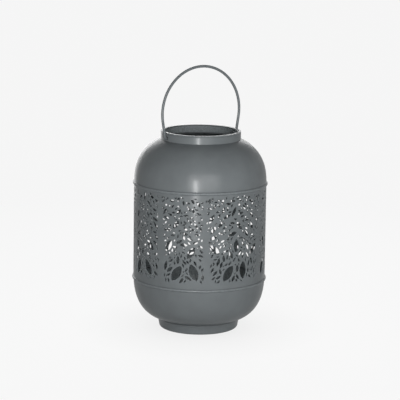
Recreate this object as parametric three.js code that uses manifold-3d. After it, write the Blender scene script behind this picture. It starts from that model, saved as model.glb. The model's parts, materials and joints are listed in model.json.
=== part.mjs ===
// Candle lantern of thin painted sheet steel: bowl, pierced band, domed shoulder, neck collar and wire bail.
// Millimetres, +Z up, origin on the ground in the middle of the foot; the bail's two pivots lie along X.
import * as THREE from 'three';
import { mergeVertices } from 'three/addons/utils/BufferGeometryUtils.js';
import Module from 'manifold-3d';

// Body
const SHEET = 1.0;
const GAP = 0.3;
const SEGMENTS = 40;
const CORNER_MERGE = 1e-4;
const BODY_RADIUS = 79.0;
const BEAD_RADIUS = 80.5;
const BEAD_HEIGHT = 3.8;
const BEAD_FLAT = 0.45;
const LOWER_BEAD_Z = 61.0;
const UPPER_BEAD_Z = 176.2;

// Superellipse walls: radius = core + reach cos(t)^power, height = widestZ + rise sin(t)^power
const BOWL = { core: 30.0, reach: 49.0, widestZ: 69.6, rise: -59.4, power: 0.761 };
const DOME = { core: 0.0, reach: 79.0, widestZ: 175.3, rise: 60.9, power: 0.8 };
const WALL_STEPS = 9;

// Foot ring
const FOOT_TOP_RADIUS = 49.3;
const FOOT_TOE_RADIUS = 47.4;
const FOOT_TOE_ROUND = 3.0;
const FOOT_FLANGE_INNER = 40.0;
const FOOT_HEIGHT = 11.8;
const FOOT_TOE_STEPS = 4;

// Collar that stands on the dome's slope, round its mouth, with its rim turned inward as a lip
const COLLAR_RADIUS = 47.6;
const RIM_Z = 238.6;
const RIM_LIP_WIDTH = 4.2;
const RIM_BEND_RADIUS = 1.2;
const RIM_BEND_STEPS = 3;

// Bail of round wire
const WIRE_RADIUS = 1.5;
const WIRE_SIDES = 10;
const PIVOT_Z = 232.0;
const PIVOT_HOLE_RADIUS = 2.0;
const PIVOT_HOLE_SIDES = 14;
const PIVOT_DRILL_LENGTH = 3 * COLLAR_RADIUS;
const BAIL_ARC_RADIUS = 54.0;
const BAIL_ARC_CENTRE_Z = 260.8;
const BAIL_LEG_FOOT_X = 50.4;
const BAIL_BEND_RADIUS = 2.6;
const BAIL_BEND_STEPS = 4;
const BAIL_TIP_X = 42.5;
const BAIL_ARC_STEPS = 40;

// Tealight that stands on the bowl's floor
const CUP_TOP_RADIUS = 19.2;
const CUP_FOOT_RADIUS = 18.6;
const CUP_HEIGHT = 14.5;
const CUP_WALL = 0.6;
const WAX_HEIGHT = 11.6;
const WICK_RADIUS = 0.7;
const WICK_LENGTH = 17.5;
const SUSTAINER_RADIUS = 6.0;
const SUSTAINER_PLATE = 0.4;
const SUSTAINER_SLEEVE_RADIUS = 1.6;
const SUSTAINER_HEIGHT = 3.9;
const TEALIGHT_SEGMENTS = 28;
const WICK_SEGMENTS = 8;

// Piercing: leaves along twigs that climb from slender stems, over two rows of broad leaves
const PIERCED_Z = [69.5, 172.5];
const STEM_COUNT = 8;
const STEM_HALF_WIDTHS = [4.2, 0.9];
const STEM_STAGGER = { share: 0.18, wave: 2.4 };
const STEM_SWAY = { reach: 3.0, wave: 3.0, shift: 1.7 };
const TWIG_COUNT = 7;
const TWIG_HALF_WIDTH = 0.5;
const TWIG_FIRST_Z = 88.0;
const TWIG_FIRST_SWAY = { reach: 2.0, wave: 1.3 };
const TWIG_SPACING = 13.0;
const TWIG_RISE = 0.75;
const BRIDGE = 0.8;
const BROAD_ROWS = [
  { count: 24, length: 21.0, width: 10.4, z: 83.0, zSway: 2.0, lean: 0.6 },
  { count: 18, length: 16.0, width: 7.6, z: 110.0, zSway: 4.0, lean: 0.9 },
];
const BROAD_Z_WAVE = 2.1;
const BROAD_LEAN_WAVE = 1.9;
const BROAD_LEAN_SHIFT = 0.4;
const BROAD_WAIST = 0.45;
const LEAF_ROUNDS = [
  { darts: 4000, limit: 110, lengths: [8.5, 12.5], slenderness: [0.34, 0.42] },
  { darts: 9000, limit: 230, lengths: [6.0, 8.5], slenderness: [0.36, 0.46] },
];
const LEAF_SPREAD = 0.55;
const LEAF_JITTER = 0.45;
const UNDERGROWTH_LEAN = 0.3;
const UNDERGROWTH_JITTER = 1.8;
const LEAF_FULLNESS = 0.8;
const KITE_FULLNESS = 1.12;
const LEAF_SEED = 7;
const LEAF_DISC_COUNT = 9;
const STREAM_FACTOR = 1664525;
const STREAM_STEP = 1013904223;
const STREAM_SIZE = 2 ** 32;
const CUTTER_DEPTH = 8.0;

const wasm = await Module();
wasm.setup();

// A closed geometry, with shared corners merged, as a solid that can be joined and cut
function toSolid(geometry) {
  geometry.deleteAttribute('normal');
  geometry.deleteAttribute('uv');
  const merged = mergeVertices(geometry, CORNER_MERGE);
  const vertProperties = new Float32Array(merged.attributes.position.array);
  const triVerts = new Uint32Array(merged.index.array);
  return new wasm.Manifold(new wasm.Mesh({ numProp: 3, vertProperties, triVerts }));
}

function toGeometry(solid) {
  const mesh = solid.getMesh();
  const geometry = new THREE.BufferGeometry();
  const positions = new THREE.BufferAttribute(new Float32Array(mesh.vertProperties), 3);
  geometry.setAttribute('position', positions);
  geometry.setIndex(new THREE.BufferAttribute(new Uint32Array(mesh.triVerts), 1));
  geometry.computeVertexNormals();
  return geometry;
}

// A profile of [radius, height] pairs turned about Z
function turned(profile, segments = SEGMENTS) {
  const points = profile.map(([radius, height]) => new THREE.Vector2(radius, height));
  const geometry = new THREE.LatheGeometry(points, segments);
  geometry.rotateX(Math.PI / 2);
  return geometry;
}

function closed(profile) {
  return [...profile, profile[0]];
}

function arcPoints(centre, radius, fromAngle, toAngle, steps) {
  return Array.from({ length: steps + 1 }, (_, i) => {
    const angle = fromAngle + (toAngle - fromAngle) * (i / steps);
    return [centre[0] + radius * Math.cos(angle), centre[1] + radius * Math.sin(angle)];
  });
}

// Where a superellipse wall reaches a given height or radius
function angleAtHeight(wall, height) {
  return Math.asin(((height - wall.widestZ) / wall.rise) ** (1 / wall.power));
}

function angleAtRadius(wall, radius) {
  return Math.acos(((radius - wall.core) / wall.reach) ** (1 / wall.power));
}

function wallPoint(wall, angle) {
  const radius = wall.core + wall.reach * Math.max(Math.cos(angle), 0) ** wall.power;
  return [radius, wall.widestZ + wall.rise * Math.sin(angle) ** wall.power];
}

function wallPoints(wall, fromAngle, toAngle) {
  return Array.from({ length: WALL_STEPS + 1 }, (_, i) => (
    wallPoint(wall, fromAngle + (toAngle - fromAngle) * (i / WALL_STEPS))
  ));
}

// The inner face of a sheet whose outer face follows the line upward
function insideOf(line) {
  return line.map((point, i) => {
    const before = line[Math.max(i - 1, 0)];
    const after = line[Math.min(i + 1, line.length - 1)];
    const along = new THREE.Vector2(after[0] - before[0], after[1] - before[1]).normalize();
    return [point[0] - along.y * SHEET, point[1] + along.x * SHEET];
  });
}

// Half-round bead round the body, from its lower edge to its upper edge
function beadLine(middleZ) {
  const half = BEAD_HEIGHT / 2;
  const edgeRadius = (BODY_RADIUS + GAP + BEAD_RADIUS) / 2;
  return [
    [edgeRadius, middleZ - half],
    [BEAD_RADIUS, middleZ - half * BEAD_FLAT],
    [BEAD_RADIUS, middleZ + half * BEAD_FLAT],
    [edgeRadius, middleZ + half],
  ];
}

// The ledges inside the two beads, which the band's edges stand between
const SOCKET_RADIUS = BODY_RADIUS + GAP;
const LOWER_LEDGE_Z = LOWER_BEAD_Z - BEAD_HEIGHT / 2 + SHEET;
const UPPER_LEDGE_Z = UPPER_BEAD_Z + BEAD_HEIGHT / 2 - SHEET;

function footRing() {
  const toeCentre = [FOOT_TOE_RADIUS - FOOT_TOE_ROUND, FOOT_TOE_ROUND];
  return turned(closed([
    [FOOT_FLANGE_INNER, 0],
    ...arcPoints(toeCentre, FOOT_TOE_ROUND, -Math.PI / 2, 0, FOOT_TOE_STEPS),
    [FOOT_TOP_RADIUS, FOOT_HEIGHT],
    [FOOT_TOP_RADIUS - SHEET, FOOT_HEIGHT - GAP],
    ...arcPoints(toeCentre, FOOT_TOE_ROUND - SHEET, 0, -Math.PI / 2, FOOT_TOE_STEPS - 1),
    [FOOT_FLANGE_INNER, SHEET],
  ]));
}

function baseBowl() {
  const beadFoot = LOWER_BEAD_Z - BEAD_HEIGHT / 2;
  const outside = wallPoints(BOWL, Math.PI / 2, angleAtHeight(BOWL, beadFoot));
  const inside = insideOf(outside).reverse();
  const floorZ = outside[0][1];
  return turned([
    [0, floorZ],
    ...outside,
    ...beadLine(LOWER_BEAD_Z),
    [SOCKET_RADIUS, LOWER_BEAD_Z + BEAD_HEIGHT / 2],
    [SOCKET_RADIUS, LOWER_LEDGE_Z],
    [inside[0][0], LOWER_LEDGE_Z],
    ...inside.slice(1, -1),
    [BOWL.core, floorZ + SHEET],
    [0, floorZ + SHEET],
  ]);
}

function shoulderDome() {
  const beadTop = UPPER_BEAD_Z + BEAD_HEIGHT / 2;
  const mouthAngle = angleAtRadius(DOME, COLLAR_RADIUS - SHEET);
  const outside = wallPoints(DOME, angleAtHeight(DOME, beadTop), mouthAngle);
  const inside = insideOf(outside).reverse();
  return turned(closed([
    [SOCKET_RADIUS, UPPER_BEAD_Z - BEAD_HEIGHT / 2],
    ...beadLine(UPPER_BEAD_Z),
    ...outside,
    ...inside.slice(0, -1),
    [inside.at(-1)[0], UPPER_LEDGE_Z],
    [SOCKET_RADIUS, UPPER_LEDGE_Z],
  ]));
}

// Height of the collar's sloped foot, a gap above the dome
function collarFootZ(radius) {
  return wallPoint(DOME, angleAtRadius(DOME, radius))[1] + GAP;
}

function neckCollar() {
  const innerRadius = COLLAR_RADIUS - SHEET;
  const lipRadius = COLLAR_RADIUS - RIM_LIP_WIDTH;
  const bendCentre = [COLLAR_RADIUS - RIM_BEND_RADIUS, RIM_Z - RIM_BEND_RADIUS];
  const ring = turned(closed([
    [innerRadius, collarFootZ(innerRadius)],
    [COLLAR_RADIUS, collarFootZ(COLLAR_RADIUS)],
    ...arcPoints(bendCentre, RIM_BEND_RADIUS, 0, Math.PI / 2, RIM_BEND_STEPS),
    [lipRadius, RIM_Z],
    [lipRadius, RIM_Z - SHEET],
    [innerRadius, RIM_Z - SHEET],
  ]));
  const drill = new THREE.CylinderGeometry(
    PIVOT_HOLE_RADIUS, PIVOT_HOLE_RADIUS, PIVOT_DRILL_LENGTH, PIVOT_HOLE_SIDES,
  );
  drill.rotateZ(Math.PI / 2);
  drill.translate(0, 0, PIVOT_Z);
  return toGeometry(toSolid(ring).subtract(toSolid(drill)));
}

// A route whose sections fall exactly on its listed points
class ListedRoute extends THREE.Curve {
  constructor(points) {
    super();
    this.points = points;
  }

  getPointAt(share, target = new THREE.Vector3()) {
    return target.copy(this.points[Math.round(share * (this.points.length - 1))]);
  }

  getTangentAt(share, target = new THREE.Vector3()) {
    const last = this.points.length - 1;
    const index = Math.round(share * last);
    const before = this.points[Math.max(index - 1, 0)];
    const after = this.points[Math.min(index + 1, last)];
    return target.subVectors(after, before).normalize();
  }
}

// Middle line of the bail in the XZ plane: bent tip, leg, arc over the top, leg and bent tip
function bailRoute() {
  const legFootZ = PIVOT_Z + BAIL_BEND_RADIUS;
  const footDistance = Math.hypot(BAIL_LEG_FOOT_X, BAIL_ARC_CENTRE_Z - legFootZ);
  const footAngle = Math.atan2(legFootZ - BAIL_ARC_CENTRE_Z, BAIL_LEG_FOOT_X);
  const tangentAngle = footAngle + Math.acos(BAIL_ARC_RADIUS / footDistance);
  const arcCentre = [0, BAIL_ARC_CENTRE_Z];
  const arc = arcPoints(arcCentre, BAIL_ARC_RADIUS, tangentAngle, Math.PI - tangentAngle, BAIL_ARC_STEPS);
  const bendCentre = [BAIL_LEG_FOOT_X - BAIL_BEND_RADIUS, legFootZ];
  const bend = arcPoints(bendCentre, BAIL_BEND_RADIUS, -Math.PI / 2, 0, BAIL_BEND_STEPS);
  const rightEnd = [[BAIL_TIP_X, PIVOT_Z], ...bend];
  const leftEnd = rightEnd.map(([x, z]) => [-x, z]).reverse();
  return [...rightEnd, ...arc, ...leftEnd].map(([x, z]) => new THREE.Vector3(x, 0, z));
}

function bailHandle() {
  const route = bailRoute();
  const section = new THREE.Shape(arcPoints([0, 0], WIRE_RADIUS, 0, 2 * Math.PI, WIRE_SIDES)
    .slice(0, -1).map((point) => new THREE.Vector2(...point)));
  return new THREE.ExtrudeGeometry(section, { steps: route.length - 1, extrudePath: new ListedRoute(route) });
}

// A repeatable stream of numbers from 0 to 1
function numberStream(seed) {
  let state = seed;
  return () => {
    state = (state * STREAM_FACTOR + STREAM_STEP) % STREAM_SIZE;
    return state / STREAM_SIZE;
  };
}

const CIRCUMFERENCE = 2 * Math.PI * BODY_RADIUS;
const STEM_PITCH = CIRCUMFERENCE / STEM_COUNT;

function between([low, high], share) {
  return low + (high - low) * share;
}

function roundHalfUp(value) {
  return Math.floor(value + 0.5);
}

// Shortest signed way round the band from one place to another
function wayRound(from, to) {
  return to - from - CIRCUMFERENCE * roundHalfUp((to - from) / CIRCUMFERENCE);
}

function climbAt(height) {
  return (height - PIERCED_Z[0]) / (PIERCED_Z[1] - PIERCED_Z[0]);
}

// Middle of a stem at a height, as a distance along the band
function stemMiddle(stem, height) {
  const place = stem + 0.5 + STEM_STAGGER.share * Math.sin(STEM_STAGGER.wave * stem);
  const sway = Math.sin(STEM_SWAY.wave * climbAt(height) + STEM_SWAY.shift * stem);
  return STEM_PITCH * place + STEM_SWAY.reach * sway;
}

function nearestStem(along, height) {
  let nearest = { offset: CIRCUMFERENCE, stem: 0 };
  for (let stem = 0; stem < STEM_COUNT; stem += 1) {
    const offset = wayRound(stemMiddle(stem, height), along);
    if (Math.abs(offset) < Math.abs(nearest.offset)) nearest = { offset, stem };
  }
  return nearest;
}

// Height above the nearest twig, at a place beside a stem; the two sides' twigs are staggered
function heightOverTwig({ offset, stem }, height) {
  const stagger = offset > 0 ? TWIG_SPACING / 2 : 0;
  const firstZ = TWIG_FIRST_Z + stagger + TWIG_FIRST_SWAY.reach * Math.sin(TWIG_FIRST_SWAY.wave * stem);
  const place = (height - firstZ - TWIG_RISE * Math.abs(offset)) / TWIG_SPACING;
  const twig = THREE.MathUtils.clamp(roundHalfUp(place), 0, TWIG_COUNT - 1);
  return (place - twig) * TWIG_SPACING;
}

// Discs along a leaf's middle line that stand for its outline when gaps are measured
const DISC_SHARES = Array.from({ length: LEAF_DISC_COUNT }, (_, i) => (
  -Math.cos(Math.PI * (i + 1) / (LEAF_DISC_COUNT + 1))
));

function leafDiscs(leaf) {
  return DISC_SHARES.map((share) => ({
    along: leaf.along + Math.sin(leaf.lean) * share * leaf.length / 2,
    height: leaf.height + Math.cos(leaf.lean) * share * leaf.length / 2,
    radius: (1 - share * share) ** LEAF_FULLNESS * leaf.width / 2,
  }));
}

function clearOfStems({ along, height, radius }) {
  if (height - radius < PIERCED_Z[0] || height + radius > PIERCED_Z[1]) return false;
  const nearest = nearestStem(along, height);
  if (Math.abs(nearest.offset) < between(STEM_HALF_WIDTHS, climbAt(height)) + radius) return false;
  const twigDistance = Math.abs(heightOverTwig(nearest, height)) / Math.hypot(1, TWIG_RISE);
  return twigDistance >= TWIG_HALF_WIDTH + radius;
}

function clearOfLeaf(leaf, other) {
  const reach = (leaf.length + other.length) / 2 + BRIDGE;
  if (Math.abs(wayRound(leaf.along, other.along)) > reach) return true;
  if (Math.abs(leaf.height - other.height) > reach) return true;
  return leaf.discs.every((disc) => other.discs.every((far) => {
    const distance = Math.hypot(wayRound(disc.along, far.along), disc.height - far.height);
    return distance >= disc.radius + far.radius + BRIDGE;
  }));
}

function broadLeaf(row, place) {
  const leaf = {
    along: CIRCUMFERENCE * (place + 0.5) / row.count,
    height: row.z + row.zSway * Math.sin(BROAD_Z_WAVE * place),
    lean: row.lean * Math.sin(BROAD_LEAN_WAVE * place + BROAD_LEAN_SHIFT),
    length: row.length,
    width: row.width,
    broad: true,
  };
  leaf.discs = leafDiscs(leaf);
  return leaf;
}

function broadLeaves() {
  const leaves = [];
  for (const row of BROAD_ROWS) {
    for (let place = 0; place < row.count; place += 1) {
      const leaf = broadLeaf(row, place);
      const stemOffset = Math.abs(nearestStem(leaf.along, leaf.height).offset);
      const clearOfStem = stemOffset >= STEM_HALF_WIDTHS[0] + leaf.width / 2;
      if (clearOfStem && leaves.every((other) => clearOfLeaf(leaf, other))) leaves.push(leaf);
    }
  }
  return leaves;
}

// A leaf thrown at random: beside a twig it leans with the twig, and below the twigs it stands like grass
function thrownLeaf(next, size) {
  const along = CIRCUMFERENCE * next();
  const height = between(PIERCED_Z, next());
  const jitter = LEAF_JITTER * (2 * next() - 1);
  const length = between(size.lengths, next());
  const width = length * between(size.slenderness, next());
  const nearest = nearestStem(along, height);
  const side = nearest.offset > 0 ? 1 : -1;
  const spread = heightOverTwig(nearest, height) > 0 ? -LEAF_SPREAD : LEAF_SPREAD;
  const undergrowth = height < TWIG_FIRST_Z + TWIG_RISE * Math.abs(nearest.offset);
  const lean = undergrowth
    ? UNDERGROWTH_LEAN * side + UNDERGROWTH_JITTER * jitter
    : side * (Math.atan2(1, TWIG_RISE) + spread) + jitter;
  const leaf = { along, height, lean, length, width, broad: false };
  leaf.discs = leafDiscs(leaf);
  return leaf;
}

// The larger leaves come first, and each is kept where it lies clear of stems, twigs and earlier leaves
function pierceLeaves() {
  const next = numberStream(LEAF_SEED);
  const leaves = broadLeaves();
  for (const size of LEAF_ROUNDS) {
    const full = leaves.length + size.limit;
    for (let dart = 0; dart < size.darts; dart += 1) {
      const leaf = thrownLeaf(next, size);
      const fits = leaves.length < full && leaf.discs.every(clearOfStems);
      if (fits && leaves.every((other) => clearOfLeaf(leaf, other))) leaves.push(leaf);
    }
  }
  return leaves;
}

// A leaf as a prism that points outward through the band; broad leaves have six corners and small ones four
function leafCutter(leaf) {
  const half = { long: leaf.length / 2, wide: leaf.width / 2 };
  const waist = leaf.broad ? [-BROAD_WAIST, BROAD_WAIST] : [0];
  const right = waist.map((share) => (
    [KITE_FULLNESS * half.wide * (1 - share * share) ** LEAF_FULLNESS, half.long * share]
  ));
  const left = right.map(([x, y]) => [-x, y]).reverse();
  const outline = [[0, -half.long], ...right, [0, half.long], ...left];
  const shape = new THREE.Shape(outline.map((point) => new THREE.Vector2(...point)));
  const prism = new THREE.ExtrudeGeometry(shape, { depth: CUTTER_DEPTH, bevelEnabled: false });
  prism.rotateZ(-leaf.lean);
  prism.translate(0, 0, BODY_RADIUS - CUTTER_DEPTH / 2);
  const turn = leaf.along / BODY_RADIUS;
  const outward = new THREE.Vector3(Math.cos(turn), Math.sin(turn), 0);
  const sideways = new THREE.Vector3(-Math.sin(turn), Math.cos(turn), 0);
  const place = new THREE.Matrix4().makeBasis(sideways, new THREE.Vector3(0, 0, 1), outward);
  place.setPosition(0, 0, leaf.height);
  return prism.applyMatrix4(place);
}

function piercedBand() {
  const innerRadius = BODY_RADIUS - SHEET;
  const lowZ = LOWER_LEDGE_Z + GAP;
  const highZ = UPPER_LEDGE_Z - GAP;
  const tube = turned(closed([
    [innerRadius, lowZ],
    [BODY_RADIUS, lowZ],
    [BODY_RADIUS, highZ],
    [innerRadius, highZ],
  ]));
  const cutters = pierceLeaves().map((leaf) => toSolid(leafCutter(leaf)));
  return toGeometry(cutters.reduce((band, cutter) => band.subtract(cutter), toSolid(tube)));
}

// The tealight's pieces, drawn from the underside of its cup
function tealightCup() {
  return turned([
    [0, 0],
    [CUP_FOOT_RADIUS, 0],
    [CUP_TOP_RADIUS, CUP_HEIGHT],
    [CUP_TOP_RADIUS - CUP_WALL, CUP_HEIGHT],
    [CUP_FOOT_RADIUS - CUP_WALL, CUP_WALL],
    [0, CUP_WALL],
  ], TEALIGHT_SEGMENTS);
}

const CUP_FLOOR_Z = CUP_WALL + GAP;

function tealightWax() {
  const foot = CUP_FOOT_RADIUS - CUP_WALL - GAP;
  const top = foot + (CUP_TOP_RADIUS - CUP_FOOT_RADIUS) * (WAX_HEIGHT / CUP_HEIGHT);
  const plateTop = CUP_FLOOR_Z + SUSTAINER_PLATE + GAP;
  const sleeveTop = CUP_FLOOR_Z + SUSTAINER_HEIGHT + GAP;
  return turned(closed([
    [SUSTAINER_RADIUS + GAP, CUP_FLOOR_Z],
    [foot, CUP_FLOOR_Z],
    [top, CUP_FLOOR_Z + WAX_HEIGHT],
    [WICK_RADIUS + GAP, CUP_FLOOR_Z + WAX_HEIGHT],
    [WICK_RADIUS + GAP, sleeveTop],
    [SUSTAINER_SLEEVE_RADIUS + GAP, sleeveTop],
    [SUSTAINER_SLEEVE_RADIUS + GAP, plateTop],
    [SUSTAINER_RADIUS + GAP, plateTop],
  ]), TEALIGHT_SEGMENTS);
}

function wickSustainer() {
  const bore = WICK_RADIUS + GAP;
  return turned(closed([
    [bore, CUP_FLOOR_Z],
    [SUSTAINER_RADIUS, CUP_FLOOR_Z],
    [SUSTAINER_RADIUS, CUP_FLOOR_Z + SUSTAINER_PLATE],
    [SUSTAINER_SLEEVE_RADIUS, CUP_FLOOR_Z + SUSTAINER_PLATE],
    [SUSTAINER_SLEEVE_RADIUS, CUP_FLOOR_Z + SUSTAINER_HEIGHT],
    [bore, CUP_FLOOR_Z + SUSTAINER_HEIGHT],
  ]), TEALIGHT_SEGMENTS);
}

function tealightWick() {
  return turned([
    [0, CUP_FLOOR_Z],
    [WICK_RADIUS, CUP_FLOOR_Z],
    [WICK_RADIUS, CUP_FLOOR_Z + WICK_LENGTH],
    [0, CUP_FLOOR_Z + WICK_LENGTH],
  ], WICK_SEGMENTS);
}

const FINISHES = {
  paint: { color: 0x6b7072, roughness: 0.5, metalness: 0.0 },
  wire: { color: 0x63686a, roughness: 0.5, metalness: 0.0 },
  foil: { color: 0xc9cbce, roughness: 0.35, metalness: 1.0 },
  wax: { color: 0xf1ece0, roughness: 0.45, metalness: 0.0 },
  wick: { color: 0xe6dfcf, roughness: 0.9, metalness: 0.0 },
  tin: { color: 0xb9bbbd, roughness: 0.4, metalness: 1.0 },
};

function piece(name, geometry, finish) {
  const mesh = new THREE.Mesh(geometry, new THREE.MeshStandardMaterial(FINISHES[finish]));
  mesh.name = name;
  return mesh;
}

const body = new THREE.Group();
body.add(piece('foot_ring', footRing(), 'paint'));
body.add(piece('base_bowl', baseBowl(), 'paint'));
body.add(piece('pierced_band', piercedBand(), 'paint'));
body.add(piece('shoulder_dome', shoulderDome(), 'paint'));
body.add(piece('neck_collar', neckCollar(), 'paint'));

const tealight = new THREE.Group();
tealight.position.z = BOWL.widestZ + BOWL.rise + SHEET + GAP;
tealight.add(piece('tealight_cup', tealightCup(), 'foil'));
tealight.add(piece('tealight_wax', tealightWax(), 'wax'));
tealight.add(piece('tealight_wick', tealightWick(), 'wick'));
tealight.add(piece('wick_sustainer', wickSustainer(), 'tin'));

const lantern = new THREE.Group();
lantern.add(body, piece('bail_handle', bailHandle(), 'wire'), tealight);

export default lantern;
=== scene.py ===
"""Looks of a pierced sheet-metal candle lantern: surfaces, finishes, studio and camera. Metres, +Z up."""
import json
import math
from dataclasses import dataclass

import bpy
import numpy as np
from mathutils import Matrix, Vector
from mathutils.geometry import delaunay_2d_cdt


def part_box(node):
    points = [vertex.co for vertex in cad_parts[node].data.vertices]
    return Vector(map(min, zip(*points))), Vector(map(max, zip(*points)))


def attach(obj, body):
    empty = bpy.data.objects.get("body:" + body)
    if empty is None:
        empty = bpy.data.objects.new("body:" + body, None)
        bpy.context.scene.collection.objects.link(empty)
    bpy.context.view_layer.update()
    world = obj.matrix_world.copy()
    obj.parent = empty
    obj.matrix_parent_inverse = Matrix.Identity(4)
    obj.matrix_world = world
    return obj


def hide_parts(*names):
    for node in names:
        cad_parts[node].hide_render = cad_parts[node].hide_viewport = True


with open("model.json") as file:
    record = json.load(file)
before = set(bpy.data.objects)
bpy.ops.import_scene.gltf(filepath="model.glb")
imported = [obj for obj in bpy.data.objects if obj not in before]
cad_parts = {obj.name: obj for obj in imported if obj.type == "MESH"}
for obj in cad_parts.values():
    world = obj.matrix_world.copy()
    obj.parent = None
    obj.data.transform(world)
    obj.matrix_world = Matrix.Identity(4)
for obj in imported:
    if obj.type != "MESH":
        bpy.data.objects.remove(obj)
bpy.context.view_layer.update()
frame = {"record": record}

MM = 0.001

# Camera, at the photograph's viewing angle
CAMERA_AZIMUTH = math.radians(-33.0)
CAMERA_DISTANCE = 2.1725
CAMERA_HEIGHT = 0.5741
CAMERA_PITCH = 0.1909
CAMERA_ROLL = 0.014
FOCAL_PIXELS = 1851.3
IMAGE_PIXELS = 400
SENSOR_WIDTH = 36.0

# Sheet metal
TURN_SEGMENTS = 192
SHEET = 1.0 * MM
GAP = 0.3 * MM
EDGE_ROUND = 0.35 * MM
BEAD_HEIGHT = 3.8 * MM
BEAD_STEPS = 14
BEAD_FULLNESS = 1.2
CREASE_DEPTH = 0.25 * MM
SEAM_SINK = 0.02 * MM
WALL_STEPS = 56
SHARP_ANGLE = math.radians(38)

# Tones of the coat: above 0 where it is paler, from rubbed wear on cut edges and crests and from painted
# light on inside faces and the rim; below 0 where painted shade darkens creases, joins, ledges, the foot,
# the dome round the collar and the dome's inside
# Painted light: the inside faces of the bowl, the band and the neck are painted paler to stand in for light
INSIDE_PAINTED_LIGHT_TONE = 2.7
NECK_INSIDE_PAINTED_LIGHT_TONE = 1.9
# The rim's lip is painted paler: partly rubbed wear, partly a painted highlight
RIM_WEAR_AND_HIGHLIGHT_TONE = 1.2
# Painted shade in the creases beside each bead; its crest is paler, partly rubbed wear and partly a painted
# highlight
BEAD_SHADE_AND_HIGHLIGHT_TONES = (-1.2, 1.0)
CUT_EDGE_TONE = 0.6
FLANGE_EDGE_TONE = 0.4
# Painted shade: the foot is painted darker all over
FOOT_SHADE_TONE = -0.3
# Painted shade on the dome round the collar's foot
COLLAR_SHADE_TONE = -0.5
# Painted shade on the ledges inside the bowl and the dome where the band stands
BOWL_LEDGE_SHADE_TONE = -0.5
DOME_LEDGE_SHADE_TONE = -0.6
# Painted shade on the inside of the dome
DOME_INSIDE_SHADE_TONE = -0.7
# Painted shade at joins between parts and in creases
JOIN_SHADE_TONE = -0.8
CREASE_SHADE_TONE = -1.0


@dataclass(frozen=True)
class Wall:
    """A superellipse wall: radius = core + reach cos(t)^power, height = widest_z + rise sin(t)^power."""
    core: float
    reach: float
    widest_z: float
    rise: float
    power: float

    def point(self, angle):
        radius = self.core + self.reach * max(math.cos(angle), 0.0) ** self.power
        return radius, self.widest_z + self.rise * math.sin(angle) ** self.power

    def angle_at_height(self, height):
        return math.asin(((height - self.widest_z) / self.rise) ** (1 / self.power))

    def angle_at_radius(self, radius):
        return math.acos(((radius - self.core) / self.reach) ** (1 / self.power))

    def height_at_radius(self, radius):
        return self.point(self.angle_at_radius(radius))[1]

    def line(self, start, end):
        return [self.point(angle) for angle in np.linspace(start, end, WALL_STEPS)]


BOWL = Wall(core=30.0 * MM, reach=49.0 * MM, widest_z=69.6 * MM, rise=-59.4 * MM, power=0.761)
DOME = Wall(core=0.0, reach=79.0 * MM, widest_z=175.3 * MM, rise=60.9 * MM, power=0.8)

# Foot, neck and bail
FOOT_TOE_RADIUS = 47.4 * MM
FOOT_TOE_ROUND = 3.0 * MM
FOOT_TOE_STEPS = 12
FOOT_FLANGE_INNER = 40.0 * MM
RIM_LIP_WIDTH = 4.2 * MM
RIM_BEND_RADIUS = 0.9 * MM
RIM_BEND_STEPS = 10
RIM_CREASE_HEIGHT = 1.2 * MM
RIM_CREASE_DEPTH = 0.3 * MM
COLLAR_RADIUS = 47.6 * MM
COLLAR_SEAM = 0.12 * MM
# Reach of the painted shade on the dome round the collar
COLLAR_SHADE_REACH = 13.0 * MM
RIM_Z = 238.6 * MM
WIRE_COAT = 0.1 * MM
WIRE_RADIUS = 1.5 * MM + WIRE_COAT
WIRE_SIDES = 24
PIVOT_Z = 232.0 * MM
PIVOT_HOLE_RADIUS = 2.0 * MM
PIVOT_HOLE_SIDES = 30
PIVOT_DRILL_LENGTH = 3 * COLLAR_RADIUS
BAIL_ARC_RADIUS = 54.0 * MM
BAIL_ARC_CENTRE_Z = 260.8 * MM
BAIL_LEG_FOOT_X = 50.4 * MM
BAIL_BEND_RADIUS = 2.6 * MM
BAIL_BEND_STEPS = 12
BAIL_TIP_X = 42.5 * MM
BAIL_TIP_PLACES = (0.0, 0.06, 0.2, 0.5)
BAIL_TIP_SHARES = (0.62, 0.82, 0.95, 1.0)
BAIL_ARC_STEPS = 150
# Reach of the painted shade on the bail above its pivots
WIRE_SHADE_REACH = 8.0 * MM

# Tealight
FOIL = 0.3 * MM
CUP_FOOT_RADIUS = 18.6 * MM
CUP_RIM_ROLL = 0.45 * MM
CUP_RING_RADII = (13.6 * MM, 17.2 * MM)
CUP_RING_WIDTH = 1.2 * MM
CUP_RING_HEIGHT = 0.4 * MM
CUP_FLUTES = 48
CUP_FLUTE_DEPTH = 0.12 * MM
CUP_FLUTE_FACETS = 6
CUP_SEGMENTS = CUP_FLUTES * CUP_FLUTE_FACETS
CUP_WALL_STEPS = 14
CUP_RIM_TURN = (-0.4 * math.pi, 1.1 * math.pi)
CUP_RIM_STEPS = 14
WAX_CLEARANCE = 0.2 * MM
WAX_MENISCUS = 0.5 * MM
WAX_DIP = 0.6 * MM
WAX_DIP_RADIUS = 6.0 * MM
WAX_TOP_STEPS = 24
WAX_SEGMENTS = 96
WICK_CLEARANCE = 0.3 * MM
WICK_STRANDS = 3
WICK_STRAND_RADIUS = 0.33 * MM
WICK_WEAVE = (0.37 * MM, 0.2 * MM)
WICK_WEAVE_PITCH = 4.2 * MM
WICK_STEPS = 72
WICK_SIDES = 8
WICK_UNEVENNESS = 0.08
WICK_TIP_SHARES = (0.95, 0.8, 0.5)
PLATE_THICKNESS = 0.4 * MM
PLATE_RING_RADIUS = 4.2 * MM
PLATE_RING_HEIGHT = 0.2 * MM
SLEEVE_RADIUS = 1.6 * MM
SLEEVE_CRIMPS = 4
SLEEVE_CRIMP_DEPTH = 0.12 * MM
SLEEVE_STEPS = 10
SLEEVE_SEGMENTS = 64

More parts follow.
